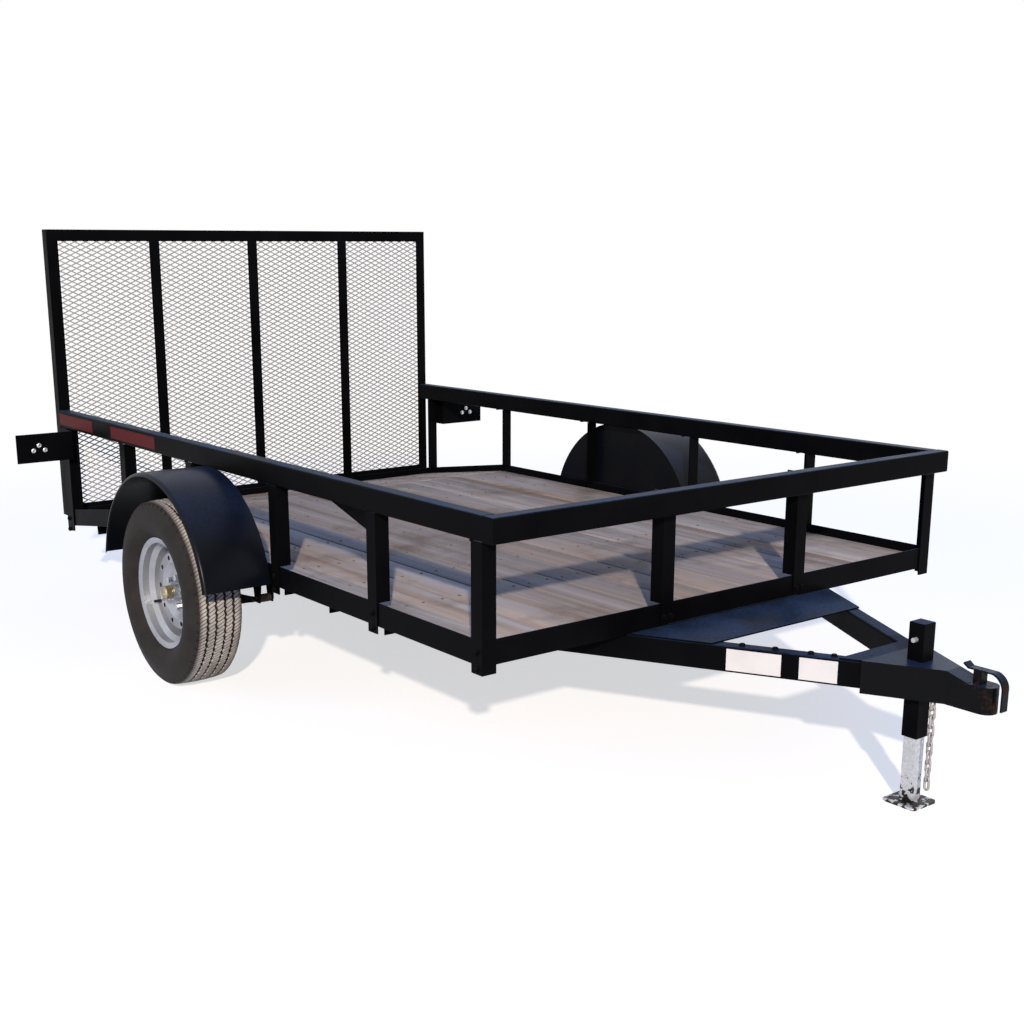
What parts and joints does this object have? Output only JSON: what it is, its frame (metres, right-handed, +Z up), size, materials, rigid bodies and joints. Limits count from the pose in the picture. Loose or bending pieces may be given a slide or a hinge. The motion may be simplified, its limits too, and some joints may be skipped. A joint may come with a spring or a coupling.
{
  "type": "utility trailer",
  "caption": "Open utility trailer with a plank bed, pipe-style top rails, round fenders, a mesh ramp gate that folds down, a braced tongue with a ball coupler and a drop-leg stand.",
  "frame": {"origin": "on the ground, under the middle of the length and width over everything", "axes": "+X forward to the coupler, +Y to the left side, +Z up"},
  "size_m": [4.2654, 2.575, 1.67],
  "materials": {
    "frame_paint": "black powder coat",
    "fender_paint": "black powder coat on rolled sheet",
    "mesh_galvanised": "galvanised expanded steel",
    "deck_wood": "weathered pine boards",
    "tyre_rubber": "black rubber",
    "wheel_paint": "silver paint",
    "hub_steel": "dark painted hub with bright nuts",
    "cap_brass": "yellow-zinc plated cap",
    "axle_paint": "black paint",
    "spring_steel": "black painted spring steel",
    "zinc": "zinc plated steel",
    "coupler_paint": "black enamel worn at the nose",
    "lamp_base": "black plastic",
    "lamp_red": "red lens",
    "tape_red": "red reflective tape",
    "label_white": "blank white label"
  },
  "bodies": {
    "chassis": {"side_frames": "frame_paint", "front_member": "frame_paint", "rear_member": "frame_paint", "cross_members": "frame_paint", "deck_planks": "deck_wood", "tail_planks": "deck_wood", "side_posts": "frame_paint", "front_posts": "frame_paint", "top_rails": "frame_paint", "front_rail": "frame_paint", "fenders": "fender_paint", "axle_beam": "axle_paint", "leaf_springs": "spring_steel", "spring_hangers": "frame_paint", "axle_clamps": "zinc", "hinge_lugs": "frame_paint", "rail_gusset": "frame_paint", "light_brackets": "frame_paint", "lamp_bases": "lamp_base", "lamp_lenses": "lamp_red", "reflector_tape": "tape_red", "tongue_beams": "frame_paint", "tongue_plate": "frame_paint", "stand_plate": "frame_paint", "stand_sleeve": "frame_paint", "stand_pin": "zinc", "coupler": "coupler_paint", "coupler_latch": "coupler_paint", "safety_chain": "zinc", "beam_labels": "label_white"},
    "ramp_gate": {"gate_stiles": "frame_paint", "gate_bars": "frame_paint", "gate_uprights": "frame_paint", "gate_mesh": "mesh_galvanised", "gate_hinges": "frame_paint"},
    "stand_leg": {"stand_leg": "zinc"},
    "right_wheel": {"tyre_right": "tyre_rubber", "wheel_right": "wheel_paint", "hub_right": "hub_steel", "grease_cap_right": "cap_brass"},
    "left_wheel": {"tyre_left": "tyre_rubber", "wheel_left": "wheel_paint", "hub_left": "hub_steel", "grease_cap_left": "cap_brass"}
  },
  "joints": [
    {"name": "gate_fold", "type": "hinge", "parent": "chassis", "child": "ramp_gate", "pos_m": [-2.0935, 0, 0.351], "axis": [0, -1, 0], "range_deg": [0, 101]},
    {"name": "stand_drop", "type": "slide", "parent": "chassis", "child": "stand_leg", "axis": [0, 0, 1], "range_m": [0, 0.18]},
    {"name": "right_wheel_spin", "type": "hinge", "parent": "chassis", "child": "right_wheel", "pos_m": [-0.5185, -1.1785, 0.344], "axis": [0, 1, 0], "continuous": true},
    {"name": "left_wheel_spin", "type": "hinge", "parent": "chassis", "child": "left_wheel", "pos_m": [-0.5185, 1.1785, 0.344], "axis": [0, 1, 0], "continuous": true}
  ]
}
